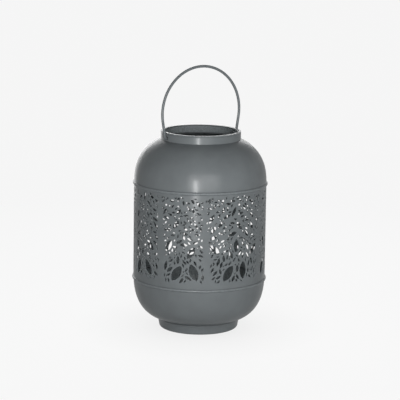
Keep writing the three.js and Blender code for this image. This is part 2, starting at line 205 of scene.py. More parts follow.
# Piercing: leaves along twigs that climb from slender stems, over two rows of broad leaves
PIERCED_Z = (69.5 * MM, 172.5 * MM)
STEM_COUNT = 8
STEM_HALF_WIDTHS = (4.2 * MM, 0.9 * MM)
STEM_STAGGER = {"share": 0.18, "wave": 2.4}
STEM_SWAY = {"reach": 3.0 * MM, "wave": 3.0, "shift": 1.7}
TWIG_COUNT = 7
TWIG_HALF_WIDTH = 0.5 * MM
TWIG_FIRST_Z = 88.0 * MM
TWIG_FIRST_SWAY = {"reach": 2.0 * MM, "wave": 1.3}
TWIG_SPACING = 13.0 * MM
TWIG_RISE = 0.75
BRIDGE = 0.8 * MM
BROAD_ROWS = (
    {"count": 24, "length": 21.0 * MM, "width": 10.4 * MM, "z": 83.0 * MM, "z_sway": 2.0 * MM, "lean": 0.6},
    {"count": 18, "length": 16.0 * MM, "width": 7.6 * MM, "z": 110.0 * MM, "z_sway": 4.0 * MM, "lean": 0.9},
)
BROAD_Z_WAVE = 2.1
BROAD_LEAN_WAVE = 1.9
BROAD_LEAN_SHIFT = 0.4
# The band's solid has the broad leaves and the first two rounds; the later rounds are too small for it
LEAF_ROUNDS = (
    {"darts": 4000, "limit": 110, "lengths": (8.5 * MM, 12.5 * MM), "slenderness": (0.34, 0.42)},
    {"darts": 9000, "limit": 230, "lengths": (6.0 * MM, 8.5 * MM), "slenderness": (0.36, 0.46)},
    {"darts": 16000, "limit": 620, "lengths": (4.2 * MM, 6.0 * MM), "slenderness": (0.4, 0.5)},
    {"darts": 20000, "limit": 500, "lengths": (2.8 * MM, 4.2 * MM), "slenderness": (0.45, 0.55)},
)
LEAF_SPREAD = 0.55
LEAF_JITTER = 0.45
UNDERGROWTH_LEAN = 0.3
UNDERGROWTH_JITTER = 1.8
LEAF_FULLNESS = 0.8
LEAF_BEND = 0.12 * MM
LEAF_LEAST_STEPS = 5
LEAF_SEED = 7
STREAM_FACTOR = 1664525
STREAM_STEP = 1013904223
STREAM_SIZE = 2 ** 32
DRAWS_PER_DART = 5
DISC_COUNT = 9
DISC_SHARES = -np.cos(np.pi * np.arange(1, DISC_COUNT + 1) / (DISC_COUNT + 1))
CUT_EDGE_BREAK = 0.07 * MM
BAND_GRID = 3.0 * MM
BAND_GRID_CLEARANCE = 1.0 * MM
PLACE_TOLERANCE = 1e-9
WHOLE_HULL = 0


# Meshes

def between(limits, share):
    return limits[0] + (limits[1] - limits[0]) * share


def mesh_piece(name, corners, faces, tones):
    """An object of smooth faces with sharp folds, and with a tone of its coat at each corner."""
    mesh = bpy.data.meshes.new(name)
    mesh.from_pydata([tuple(corner) for corner in corners], [], faces)
    attribute = mesh.attributes.new("tone", "FLOAT", "POINT")
    attribute.data.foreach_set("value", np.asarray(tones, np.float32))
    mesh.shade_smooth()
    mesh.set_sharp_from_angle(angle=SHARP_ANGLE)
    mesh.validate()
    piece = bpy.data.objects.new(name, mesh)
    bpy.context.scene.collection.objects.link(piece)
    return piece


def turned(name, profile, segments=TURN_SEGMENTS, ripple=None):
    """A closed body: a profile of (radius, height, tone), up outside and down inside, turned about Z."""
    corners, tones, rings = [], [], []
    for radius, height, tone in profile:
        count = segments if radius > 0 else 1
        first = len(corners)
        rings.append([first + (step % count) for step in range(segments)])
        for step in range(count):
            angle = 2 * math.pi * step / segments
            reach = radius + (ripple(angle, radius, height) if ripple else 0.0)
            corners.append((reach * math.cos(angle), reach * math.sin(angle), height))
            tones.append(tone)
    faces = []
    for lower, upper in zip(rings, rings[1:] + rings[:1]):
        for step in range(segments):
            after = (step + 1) % segments
            face = list(dict.fromkeys((lower[step], lower[after], upper[after], upper[step])))
            if len(face) > 2:
                faces.append(face)
    return mesh_piece(name, corners, faces, tones)


def toned(points, tone=0.0):
    return [(radius, height, tone) for radius, height in points]


def arc(centre, radius, start, end, steps):
    return [(centre[0] + radius * math.cos(angle), centre[1] + radius * math.sin(angle))
            for angle in np.linspace(start, end, steps + 1)]


def inside_of(line):
    """The inner face of a sheet whose outer face follows the line upward."""
    points = np.array(line)
    along = np.gradient(points, axis=0)
    along /= np.linalg.norm(along, axis=1)[:, None]
    return [tuple(point) for point in points + SHEET * np.column_stack([-along[:, 1], along[:, 0]])]


def tube(route, radii, sides, reference):
    """Corners and faces of a closed round body along a route, with its own radius at each point."""
    points = np.array(route)
    along = np.gradient(points, axis=0)
    along /= np.linalg.norm(along, axis=1)[:, None]
    across = np.cross(along, reference)
    across /= np.linalg.norm(across, axis=1)[:, None]
    upright = np.cross(across, along)
    angles = 2 * np.pi * np.arange(sides) / sides
    corners, faces = [], []
    for point, out, up, radius in zip(points, across, upright, radii):
        corners.extend(point + radius * (math.cos(angle) * out + math.sin(angle) * up) for angle in angles)
    for ring in range(len(points) - 1):
        for side in range(sides):
            after = (side + 1) % sides
            low, high = ring * sides, (ring + 1) * sides
            faces.append((low + side, high + side, high + after, low + after))
    last = (len(points) - 1) * sides
    faces.append(tuple(range(sides)))
    faces.append(tuple(reversed(range(last, last + sides))))
    return corners, faces


def swept(name, route, radii, tones, sides, reference):
    corners, faces = tube(route, radii, sides, reference)
    return mesh_piece(name, corners, faces, np.repeat(tones, sides))


# Body of the lantern

def bead(middle_z, low_radius, high_radius, bead_radius):
    """Rolled bead round the body with a fine crease on each side, from its lower edge to its upper edge."""
    half = BEAD_HEIGHT / 2
    points = []
    for angle in np.linspace(-math.pi / 2, math.pi / 2, BEAD_STEPS + 1):
        edge = low_radius if angle < 0 else high_radius
        out = math.cos(angle) ** BEAD_FULLNESS
        radius = edge + (bead_radius - edge) * out - CREASE_DEPTH * (1 - out)
        # Painted shade in the creases, and a paler crest that is partly wear and partly a painted highlight
        points.append((radius, middle_z + half * math.sin(angle), between(BEAD_SHADE_AND_HIGHLIGHT_TONES, out)))
    return points


def foot_ring():
    """Low ring with a rounded toe, a flange turned in under it and its top edge under the bowl."""
    _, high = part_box("foot_ring")
    toe = (FOOT_TOE_RADIUS - FOOT_TOE_ROUND, FOOT_TOE_ROUND)
    top_z = high.z
    flange_edge = FOOT_FLANGE_INNER + EDGE_ROUND
    seam_radius = high.x - SHEET / 2
    seam_z = BOWL.height_at_radius(seam_radius) + SEAM_SINK
    # Painted shade on the foot's outside, at its top join and in the crease under the bowl; the flange edge
    # is paler from wear
    profile = toned([(FOOT_FLANGE_INNER, EDGE_ROUND), (flange_edge, 0.0)], FLANGE_EDGE_TONE)
    profile += toned(arc(toe, FOOT_TOE_ROUND, -math.pi / 2, 0.0, FOOT_TOE_STEPS), FOOT_SHADE_TONE)
    profile += [(high.x - EDGE_ROUND / 2, top_z - 1.5 * EDGE_ROUND, FOOT_SHADE_TONE)]
    profile += [(high.x, top_z - EDGE_ROUND, JOIN_SHADE_TONE), (high.x - EDGE_ROUND, top_z, CREASE_SHADE_TONE)]
    profile += toned([(seam_radius, seam_z), (high.x - SHEET, top_z - GAP)], CREASE_SHADE_TONE)
    profile += toned(arc(toe, FOOT_TOE_ROUND - SHEET, 0.0, -math.pi / 2, FOOT_TOE_STEPS), FOOT_SHADE_TONE)
    profile += toned([(flange_edge, SHEET), (FOOT_FLANGE_INNER, SHEET - EDGE_ROUND)])
    return turned("foot_ring_sheet", profile)


def base_bowl():
    """Closed bowl, with a bead round its top edge and a ledge inside that takes the band."""
    low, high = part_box("base_bowl")
    band_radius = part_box("pierced_band")[1].x
    bead_z = high.z - BEAD_HEIGHT / 2
    outside = BOWL.line(math.pi / 2, BOWL.angle_at_height(high.z - BEAD_HEIGHT))
    inside = inside_of(outside)[::-1]
    ledge_z = high.z - BEAD_HEIGHT + SHEET
    socket = band_radius + GAP
    profile = [(0.0, low.z, 0.0)] + toned(outside)
    profile += bead(bead_z, outside[-1][0], socket, high.x)
    # Painted shade in the crease and on the ledge that takes the band; painted light on the inside faces
    profile += toned([(socket, ledge_z), (inside[0][0] + EDGE_ROUND, ledge_z)], CREASE_SHADE_TONE)
    profile += [(inside[0][0], ledge_z - EDGE_ROUND, BOWL_LEDGE_SHADE_TONE)] + toned(inside[2:-1], INSIDE_PAINTED_LIGHT_TONE)
    profile += toned([(BOWL.core, low.z + SHEET), (0.0, low.z + SHEET)], INSIDE_PAINTED_LIGHT_TONE)
    return turned("base_bowl_sheet", profile)


def shoulder_dome():
    """Dome with an open mouth, a bead round its foot and a ledge inside for the band."""
    low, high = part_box("shoulder_dome")
    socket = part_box("pierced_band")[1].x + GAP
    mouth = COLLAR_RADIUS - SHEET
    outside = DOME.line(DOME.angle_at_height(low.z + BEAD_HEIGHT), DOME.angle_at_radius(mouth))
    inside = inside_of(outside)[::-1]
    ledge_z = low.z + BEAD_HEIGHT - SHEET
    profile = bead(low.z + BEAD_HEIGHT / 2, socket, outside[0][0], high.x)
    # Painted shade on the dome near the collar, at its mouth, on its inside and on its ledge
    for radius, height in outside[:-2]:
        nearness = max(1 - (radius - COLLAR_RADIUS) / COLLAR_SHADE_REACH, 0.0)
        profile.append((radius, height, COLLAR_SHADE_TONE * nearness))
    profile += toned(outside[-2:] + [(mouth, inside[0][1] - EDGE_ROUND)], JOIN_SHADE_TONE)
    profile += toned([point for point in inside[1:-1] if point[0] > mouth], DOME_INSIDE_SHADE_TONE)
    profile += [(inside[-1][0], ledge_z, DOME_LEDGE_SHADE_TONE), (socket, ledge_z, CREASE_SHADE_TONE)]
    return turned("shoulder_dome_sheet", profile)


def with_pivot_holes(collar):
    """The collar drilled along X for the two ends of the bail."""
    route = [(share * PIVOT_DRILL_LENGTH, 0, PIVOT_Z) for share in (-0.5, 0.0, 0.5)]
    radii = [PIVOT_HOLE_RADIUS] * len(route)
    # The drill's tone is painted shade for the walls of the holes
    tones = [CREASE_SHADE_TONE] * len(route)
    drill = swept("pivot_drill", route, radii, tones, PIVOT_HOLE_SIDES, (0, 0, 1))
    cut = collar.modifiers.new("pivot_holes", "BOOLEAN")
    cut.object = drill
    cut.operation = "DIFFERENCE"
    cut.solver = "EXACT"
    pierced = bpy.data.meshes.new_from_object(collar.evaluated_get(bpy.context.evaluated_depsgraph_get()))
    collar.modifiers.clear()
    collar.data = pierced
    bpy.data.objects.remove(drill)
    return collar


def neck_collar():
    """Upright collar on the dome, with a fine crease under its turned-in rim."""
    outer = COLLAR_RADIUS
    inner = outer - SHEET
    lip = outer - RIM_LIP_WIDTH
    bend = (outer - RIM_BEND_RADIUS, RIM_Z - RIM_BEND_RADIUS)
    inner_foot_z = DOME.height_at_radius(inner) + COLLAR_SEAM
    outer_foot_z = DOME.height_at_radius(outer) + COLLAR_SEAM
    crease_z = bend[1] - RIM_CREASE_HEIGHT / 2
    wall_top_z = crease_z - RIM_CREASE_HEIGHT / 2
    lip_edge = (lip + SHEET / 2, RIM_Z - SHEET / 2)
    under_lip_z = RIM_Z - SHEET
    wall_heights = (outer_foot_z + EDGE_ROUND, wall_top_z - EDGE_ROUND, wall_top_z)
    # Painted light on the inside of the neck; painted shade at the joins and in the crease under the rim;
    # the rim is paler, partly wear and partly a painted highlight
    profile = [(inner, inner_foot_z + EDGE_ROUND, NECK_INSIDE_PAINTED_LIGHT_TONE)]
    profile += toned([(inner, inner_foot_z), (outer, outer_foot_z)], JOIN_SHADE_TONE)
    profile += toned([(outer, height) for height in wall_heights])
    profile += [(outer - RIM_CREASE_DEPTH, crease_z, CREASE_SHADE_TONE)]
    profile += toned(arc(bend, RIM_BEND_RADIUS, 0.0, math.pi / 2, RIM_BEND_STEPS), RIM_WEAR_AND_HIGHLIGHT_TONE)
    profile += toned(arc(lip_edge, SHEET / 2, math.pi / 2, 1.5 * math.pi, RIM_BEND_STEPS), RIM_WEAR_AND_HIGHLIGHT_TONE / 2)
    profile += toned([(inner - EDGE_ROUND, under_lip_z), (inner, under_lip_z - EDGE_ROUND)], JOIN_SHADE_TONE)
    profile += [(inner, under_lip_z - SHEET, NECK_INSIDE_PAINTED_LIGHT_TONE)]
    return with_pivot_holes(turned("neck_collar_sheet", profile))


def bail_route():
    """Middle line of the bail in the XZ plane: bent tip, leg, arc over the top, leg and bent tip."""
    foot_z = PIVOT_Z + BAIL_BEND_RADIUS
    foot_distance = math.hypot(BAIL_LEG_FOOT_X, BAIL_ARC_CENTRE_Z - foot_z)
    foot_angle = math.atan2(foot_z - BAIL_ARC_CENTRE_Z, BAIL_LEG_FOOT_X)
    tangent = foot_angle + math.acos(BAIL_ARC_RADIUS / foot_distance)
    over = arc((0.0, BAIL_ARC_CENTRE_Z), BAIL_ARC_RADIUS, tangent, math.pi - tangent, BAIL_ARC_STEPS)
    bend_centre = (BAIL_LEG_FOOT_X - BAIL_BEND_RADIUS, foot_z)
    bend = arc(bend_centre, BAIL_BEND_RADIUS, -math.pi / 2, 0.0, BAIL_BEND_STEPS)
    tip = [(BAIL_TIP_X + place * WIRE_RADIUS, PIVOT_Z) for place in BAIL_TIP_PLACES]
    right = tip + bend
    left = [(-x, z) for x, z in reversed(right)]
    return [(x, 0.0, z) for x, z in right + over + left]


def bail_wire():
    """The bail as a round wire with softened tips, painted darker near its pivots as shade."""
    route = bail_route()
    middle = (1.0,) * (len(route) - 2 * len(BAIL_TIP_SHARES))
    shares = BAIL_TIP_SHARES + middle + BAIL_TIP_SHARES[::-1]
    height = np.array([z for _, _, z in route])
    # Painted shade: the wire darkens towards its pivots, where it enters the collar
    tones = np.clip((height - PIVOT_Z) / WIRE_SHADE_REACH + CREASE_SHADE_TONE, CREASE_SHADE_TONE, 0.0)
    return swept("bail_wire", route, np.array(shares) * WIRE_RADIUS, tones, WIRE_SIDES, (0, 1, 0))


# Tealight, standing on the bowl's floor

def tealight_cup():
    """Pressed foil cup with a fluted wall, a rolled rim and raised rings under its base."""
    low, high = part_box("tealight_cup")
    corner = 2 * FOIL
    roll = (high.x - CUP_RIM_ROLL, high.z - CUP_RIM_ROLL)
    base = [(0.0, low.z + CUP_RING_HEIGHT)]
    for radius in CUP_RING_RADII:
        slope = CUP_RING_HEIGHT
        base += [(radius - slope, low.z + CUP_RING_HEIGHT), (radius, low.z)]
        base += [(radius + CUP_RING_WIDTH, low.z)]
        if radius + CUP_RING_WIDTH + slope < CUP_FOOT_RADIUS - corner:
            base += [(radius + CUP_RING_WIDTH + slope, low.z + CUP_RING_HEIGHT)]
    wall_foot = (CUP_FOOT_RADIUS, low.z + corner)
    wall_top = (roll[0] - FOIL / 2, roll[1] - CUP_RIM_ROLL)
    outside = base + [tuple(point) for point in np.linspace(wall_foot, wall_top, CUP_WALL_STEPS)]
    inside = [(radius - FOIL, height) for radius, height in outside[len(base):][::-1]]
    floor = [(radius, height + FOIL) for radius, height in base[::-1]]
    rim = arc(roll, CUP_RIM_ROLL, *CUP_RIM_TURN, CUP_RIM_STEPS)

    def flute(angle, radius, height):
        climb = (height - wall_foot[1]) / (wall_top[1] - wall_foot[1])
        depth = CUP_FLUTE_DEPTH * math.sin(math.pi * min(max(climb, 0.0), 1.0)) ** 0.5
        return depth * math.cos(CUP_FLUTES * angle)

    return turned("tealight_cup_foil", toned(outside + rim + inside + floor), CUP_SEGMENTS, flute)


def tealight_wax():
    """Wax that creeps up the cup's wall and dips towards the wick."""
    low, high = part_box("tealight_wax")
    plate_low, plate_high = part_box("wick_sustainer")
    foot = CUP_FOOT_RADIUS - FOIL - CUP_FLUTE_DEPTH - WAX_CLEARANCE
    wall = high.x + FOIL / 2
    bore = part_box("tealight_wick")[1].x + WICK_CLEARANCE
    plate = plate_high.x + WICK_CLEARANCE
    sleeve = SLEEVE_RADIUS + WICK_CLEARANCE
    plate_z = plate_low.z + PLATE_THICKNESS + PLATE_RING_HEIGHT + WICK_CLEARANCE
    sleeve_z = plate_high.z + WICK_CLEARANCE
    profile = [(plate, low.z), (foot, low.z), (wall, high.z)]
    profile.append((wall - WAX_MENISCUS / 4, high.z + WAX_MENISCUS))
    for radius in np.linspace(wall - WAX_MENISCUS, bore + WICK_CLEARANCE, WAX_TOP_STEPS):
        creep = WAX_MENISCUS * math.exp((radius - wall) / WAX_MENISCUS)
        dip = WAX_DIP * math.exp(-((radius / WAX_DIP_RADIUS) ** 2))
        profile.append((radius, high.z + creep - dip))
    top_z = profile[-1][1]
    profile += [(bore, top_z + WICK_CLEARANCE), (bore, sleeve_z), (sleeve, sleeve_z)]
    profile += [(sleeve, plate_z), (plate, plate_z)]
    return turned("tealight_wax_fill", toned(profile), WAX_SEGMENTS)


def tealight_wick():
    """Cotton wick of plaited strands, uneven in thickness and tapered at its tip."""
    low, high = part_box("tealight_wick")
    heights = np.linspace(low.z, high.z, WICK_STEPS)
    corners, faces = [], []
    for strand in range(WICK_STRANDS):
        turn = 2 * np.pi * ((heights - low.z) / WICK_WEAVE_PITCH + strand / WICK_STRANDS)
        route = np.column_stack([WICK_WEAVE[0] * np.sin(turn), WICK_WEAVE[1] * np.sin(2 * turn), heights])
        radii = WICK_STRAND_RADIUS * (1 + WICK_UNEVENNESS * np.sin(WICK_STRANDS * turn + strand))
        radii[-len(WICK_TIP_SHARES):] *= WICK_TIP_SHARES
        strand_corners, strand_faces = tube(route, radii, WICK_SIDES, (0, 1, 0))
        faces += [tuple(corner + len(corners) for corner in face) for face in strand_faces]
        corners += strand_corners
    return mesh_piece("tealight_wick_braid", corners, faces, np.zeros(len(corners)))


def wick_sustainer():
    """Tinned plate with a raised ring, and a crimped sleeve that grips the wick."""
    low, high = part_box("wick_sustainer")
    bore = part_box("tealight_wick")[1].x + WICK_CLEARANCE
    top = low.z + PLATE_THICKNESS
    edge = PLATE_THICKNESS / 4
    ring = [(PLATE_RING_RADIUS + offset, top + lift) for offset, lift in (
        (3 * edge, 0.0), (edge, PLATE_RING_HEIGHT), (-edge, PLATE_RING_HEIGHT), (-3 * edge, 0.0))]
    profile = [(bore, low.z), (high.x - edge, low.z), (high.x, low.z + edge)]
    profile += [(high.x, top - edge), (high.x - edge, top)]
    profile += ring + [(SLEEVE_RADIUS + edge, top), (SLEEVE_RADIUS, top + edge)]
    sleeve_heights = np.linspace(top + 2 * edge, high.z - edge, SLEEVE_STEPS)
    profile += [(SLEEVE_RADIUS, height) for height in sleeve_heights]
    profile += [(SLEEVE_RADIUS - edge, high.z), (bore, high.z)]

    def crimp(angle, radius, height):
        climb = min(max((height - top) / (high.z - top), 0.0), 1.0)
        return -SLEEVE_CRIMP_DEPTH * math.sin(math.pi * climb) * (1 + math.cos(SLEEVE_CRIMPS * angle))

    return turned("wick_sustainer_tin", toned(profile), SLEEVE_SEGMENTS, crimp)


# Leaf piercing

BAND_LOW, BAND_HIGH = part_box("pierced_band")
BAND_RADIUS = BAND_HIGH.x
CIRCUMFERENCE = 2 * math.pi * BAND_RADIUS
STEM_PITCH = CIRCUMFERENCE / STEM_COUNT


@dataclass
class Leaf:
    """One cut-out, by its middle on the unrolled band and its lean from upright."""
    along: float
    height: float
    lean: float
    length: float
    width: float

    def discs(self):
        """Discs along the middle line that stand for the outline when gaps are measured."""
        reach = DISC_SHARES * self.length / 2
        return np.column_stack([
            self.along + math.sin(self.lean) * reach,
            self.height + math.cos(self.lean) * reach,
            (1 - DISC_SHARES ** 2) ** LEAF_FULLNESS * self.width / 2,
        ])

    def outline(self):
        """Corners of the pointed outline, whose middle line is a little bent."""
        steps = LEAF_LEAST_STEPS + sum(self.length > size["lengths"][0] for size in LEAF_ROUNDS[:-1])
        shares = -np.cos(np.pi * np.arange(steps + 1) / steps)
        half = (1 - shares ** 2) ** LEAF_FULLNESS * self.width / 2
        bend = LEAF_BEND * math.sin(self.along / BRIDGE) * (1 - shares ** 2)
        right = np.column_stack([bend + half, shares * self.length / 2])
        left = np.column_stack([bend - half, shares * self.length / 2])[-2:0:-1]
        ring = np.vstack([right, left])
        cos, sin = math.cos(self.lean), math.sin(self.lean)
        across, up = ring.T
        leaning = np.column_stack([across * cos + up * sin, up * cos - across * sin])
        return leaning + (self.along, self.height)


def number_stream(seed):
    """A repeatable stream of numbers from 0 to 1."""
    state = seed
    while True:
        state = (state * STREAM_FACTOR + STREAM_STEP) % STREAM_SIZE
        yield state / STREAM_SIZE


def round_half_up(value):
    """Nearest whole numbers, with halves rounded up."""
    return np.floor(value + 0.5)


def way_round(start, end):
    """Shortest signed way round the band from one place to another."""
    return end - start - CIRCUMFERENCE * round_half_up((end - start) / CIRCUMFERENCE)


def climb_at(height):
    """Share of the way up the pierced part of the band."""
    return (height - PIERCED_Z[0]) / (PIERCED_Z[1] - PIERCED_Z[0])


STEMS = np.arange(STEM_COUNT)
STEM_PLACES = STEM_PITCH * (STEMS + 0.5 + STEM_STAGGER["share"] * np.sin(STEM_STAGGER["wave"] * STEMS))


def nearest_stem(along, height):
    """Signed distances of places from their nearest stems, and which stems they are."""
    phases = STEM_SWAY["wave"] * climb_at(height)[:, None] + STEM_SWAY["shift"] * STEMS
    middles = STEM_PLACES + STEM_SWAY["reach"] * np.sin(phases)
    offsets = way_round(middles, along[:, None])
    stem = np.argmin(np.abs(offsets), axis=1)
    return offsets[np.arange(len(along)), stem], stem


def height_over_twig(offset, stem, height):
    """Height above the nearest twig, at places beside a stem; the two sides' twigs are staggered."""
    stagger = np.where(offset > 0, TWIG_SPACING / 2, 0.0)
    first_z = TWIG_FIRST_Z + stagger + TWIG_FIRST_SWAY["reach"] * np.sin(TWIG_FIRST_SWAY["wave"] * stem)
    place = (height - first_z - TWIG_RISE * np.abs(offset)) / TWIG_SPACING
    twig = np.clip(round_half_up(place), 0, TWIG_COUNT - 1)
    return (place - twig) * TWIG_SPACING


def clear_of_stems(discs):
    """Whether a leaf's discs lie in the pierced part, clear of stems and twigs."""
    along, height, radius = discs.T
    if np.any(height - radius < PIERCED_Z[0]) or np.any(height + radius > PIERCED_Z[1]):
        return False
    offset, stem = nearest_stem(along, height)
    if np.any(np.abs(offset) < between(STEM_HALF_WIDTHS, climb_at(height)) + radius):
        return False
    twig_distance = np.abs(height_over_twig(offset, stem, height)) / math.hypot(1, TWIG_RISE)
    return bool(np.all(twig_distance >= TWIG_HALF_WIDTH + radius))


class CutLeaves:
    """The leaves kept so far, with their middles and reaches at hand, so that near ones are found fast."""

    def __init__(self, room):
        self.leaves = []
        self.places = np.zeros((room, 3))

    def clear(self, leaf):
        """Whether a leaf keeps a bridge of metal to all the leaves already there."""
        along, height, reach = self.places[:len(self.leaves)].T
        room = reach + leaf.length / 2 + BRIDGE
        near = (np.abs(way_round(along, leaf.along)) < room) & (np.abs(height - leaf.height) < room)
        discs = leaf.discs()
        for other in np.flatnonzero(near):
            taken = self.leaves[other].discs()
            sideways = way_round(discs[:, None, 0], taken[None, :, 0])
            distance = np.hypot(sideways, discs[:, None, 1] - taken[None, :, 1])
            if np.any(distance < discs[:, None, 2] + taken[None, :, 2] + BRIDGE):
                return False
        return True

    def add(self, leaf):
        self.places[len(self.leaves)] = leaf.along, leaf.height, leaf.length / 2
        self.leaves.append(leaf)


def broad_leaves():
    """Rows of broad leaves that rise, fall and lean in waves."""
    for row in BROAD_ROWS:
        for place in range(row["count"]):
            yield Leaf(
                CIRCUMFERENCE * (place + 0.5) / row["count"],
                row["z"] + row["z_sway"] * math.sin(BROAD_Z_WAVE * place),
                row["lean"] * math.sin(BROAD_LEAN_WAVE * place + BROAD_LEAN_SHIFT),
                row["length"],
                row["width"],
            )


def thrown_leaf(draws, size):
    """A leaf thrown at random: it leans with the twig beside it, or stands like grass below the twigs."""
    along = CIRCUMFERENCE * draws[0]
    height = between(PIERCED_Z, draws[1])
    jitter = LEAF_JITTER * (2 * draws[2] - 1)
    length = between(size["lengths"], draws[3])
    width = length * between(size["slenderness"], draws[4])
    offsets, stems = nearest_stem(np.array([along]), np.array([height]))
    side = 1 if offsets[0] > 0 else -1
    fan = -LEAF_SPREAD if height_over_twig(offsets, stems, height)[0] > 0 else LEAF_SPREAD
    lean = side * (math.atan2(1, TWIG_RISE) + fan) + jitter
    if height < TWIG_FIRST_Z + TWIG_RISE * abs(offsets[0]):
        lean = UNDERGROWTH_LEAN * side + UNDERGROWTH_JITTER * jitter
    return Leaf(along, height, lean, length, width)


def pierce_leaves():
    """Larger leaves come first, and each is kept where it is clear of stems, twigs and earlier leaves."""
    draw = number_stream(LEAF_SEED)
    room = sum(row["count"] for row in BROAD_ROWS) + sum(size["limit"] for size in LEAF_ROUNDS)
    kept = CutLeaves(room)
    for leaf in broad_leaves():
        offset = nearest_stem(np.array([leaf.along]), np.array([leaf.height]))[0][0]
        if abs(offset) >= STEM_HALF_WIDTHS[0] + leaf.width / 2 and kept.clear(leaf):
            kept.add(leaf)
    for size in LEAF_ROUNDS:
        full = len(kept.leaves) + size["limit"]
        for _ in range(size["darts"]):
            draws = [next(draw) for _ in range(DRAWS_PER_DART)]
            if len(kept.leaves) == full:
                continue
            leaf = thrown_leaf(draws, size)
            if clear_of_stems(leaf.discs()) and kept.clear(leaf):
                kept.add(leaf)
    return kept.leaves


def grown(ring, distance):
    """An outline moved outward by a distance."""
    along = np.roll(ring, -1, axis=0) - np.roll(ring, 1, axis=0)
    along /= np.linalg.norm(along, axis=1)[:, None]
    return ring + distance * np.column_stack([along[:, 1], -along[:, 0]])


def as_annulus(places):
    """The unrolled band as a flat annulus: the exponential map keeps angles and joins the band's ends."""
    reach = np.exp((places[:, 1] - BAND_LOW.z) / BAND_RADIUS)
    angle = places[:, 0] / BAND_RADIUS
    return np.column_stack([reach * np.cos(angle), reach * np.sin(angle)])


def band_grid(outlines):
    """Staggered places between the cut-outs, so that the sheet bends evenly."""
    columns = int(CIRCUMFERENCE / BAND_GRID)
    rows = np.arange(BAND_LOW.z + BAND_GRID, BAND_HIGH.z - BAND_GRID / 2, BAND_GRID)
    places = np.array([((column + 0.5 * (row % 2)) * CIRCUMFERENCE / columns, height)
                       for row, height in enumerate(rows) for column in range(columns)])
    clear = np.ones(len(places), bool)
    for ring in outlines:
        sideways = way_round(places[:, 0, None], ring[None, :, 0])
        gap = np.hypot(sideways, places[:, 1, None] - ring[None, :, 1])
        clear &= gap.min(axis=1) > BAND_GRID_CLEARANCE
    return places[clear]


def band_edge(height):
    """Places round an edge of the band."""
    count = int(CIRCUMFERENCE / BAND_GRID) * 2
    return np.column_stack([CIRCUMFERENCE * np.arange(count) / count, np.full(count, height)])


def wrapped(places, radius):
    """Places on the unrolled band, wound round the axis at a radius."""
    angle = places[:, 0] / BAND_RADIUS
    return np.column_stack([radius * np.cos(angle), radius * np.sin(angle), places[:, 1]])


def ring_faces(first, second, count):
    """Faces between two rings, each given by its first corner."""
    return [(first + step, first + (step + 1) % count, second + (step + 1) % count, second + step)
            for step in range(count)]


def pierced_band():
    """The sheet round the cut-outs, on both faces, with walls and broken edges in the cuts."""
    cuts = [leaf.outline() for leaf in pierce_leaves()]
    rims = [grown(ring, CUT_EDGE_BREAK) for ring in cuts]
    rings = [band_edge(BAND_HIGH.z), band_edge(BAND_LOW.z)] + rims
    starts = np.cumsum([0] + [len(ring) for ring in rings])
    loops = [list(range(start, start + len(ring))) for start, ring in zip(starts, rings)]
    loops[2:] = [loop[::-1] for loop in loops[2:]]
    places = np.vstack(rings + [band_grid(rims)])
    flat = [Vector(point) for point in as_annulus(places)]
    _, _, triangles, sources, _, owners = delaunay_2d_cdt(
        flat, [], loops, WHOLE_HULL, PLACE_TOLERANCE, True)
    sheet = [tuple(sources[corner][0] for corner in triangle)
             for triangle, owner in zip(triangles, owners) if list(owner) == [0]]
    walls = np.vstack(cuts)
    count = len(places)
    corners = np.vstack([
        wrapped(places, BAND_RADIUS),
        wrapped(places, BAND_RADIUS - SHEET),
        wrapped(walls, BAND_RADIUS - CUT_EDGE_BREAK),
        wrapped(walls, BAND_RADIUS - SHEET + CUT_EDGE_BREAK),
    ])
    tones = np.zeros(len(corners))
    # Painted light on the band's inside face; the cut edges are paler from wear
    tones[count:2 * count] = INSIDE_PAINTED_LIGHT_TONE
    tones[2 * count:] = CUT_EDGE_TONE
    faces = [triangle[::-1] for triangle in sheet]
    faces += [tuple(corner + count for corner in triangle) for triangle in sheet]
    faces += ring_faces(count, 0, len(rings[0]))
    faces += ring_faces(starts[1], count + starts[1], len(rings[1]))
    for start, ring in zip(starts[2:], rims):
        outer_wall = 2 * count + start - starts[2]
        inner_wall = outer_wall + len(walls)
        for first, second in ((start, outer_wall), (outer_wall, inner_wall), (inner_wall, count + start)):
            faces += ring_faces(first, second, len(ring))
    faces = [tuple(int(corner) for corner in face) for face in faces]
    return mesh_piece("pierced_band_sheet", corners, faces, tones)


# Materials

NOISE_RANGE = (0.3, 0.7)
MIX_COLOUR_INPUTS = (6, 7)
MIX_COLOUR_OUTPUT = 2

COAT_CLOUD_SCALE = 45.0
COAT_CLOUD_SHADES = (0.93, 1.06)
COAT_SCUFF_SCALE = 700.0
COAT_SCUFF_RANGE = (0.35, 0.65)
COAT_SCUFF_SHARES = (0.2, 1.0)
# Paler shade for rubbed wear and painted light, then the share and shade of painted shade
COAT_WEAR_AND_LIGHT_SHADE = 1.9
COAT_PAINTED_SHADE_SHARE = 0.55
COAT_PAINTED_SHADE = 0.35
COAT_SWAY_SCALE = 60.0
COAT_SWAY_STRENGTH = 0.12
COAT_SWAY_DEPTH = 0.6 * MM
COAT_PEEL_SCALE = 1500.0
COAT_PEEL_STRENGTH = 0.18
COAT_PEEL_DEPTH = 0.05 * MM
COAT_ROUGHNESS = (0.46, 0.6)
COAT_UNDER_SPECULAR = 0.05
COAT_WEIGHT = 0.25
COAT_TOP_ROUGHNESS = 0.23
# Painted light: the wire's colour is lightened to make up for the light its thin round sides miss
WIRE_PAINTED_LIGHT_TINT = 1.2
WIRE_RELIEF = 0.2

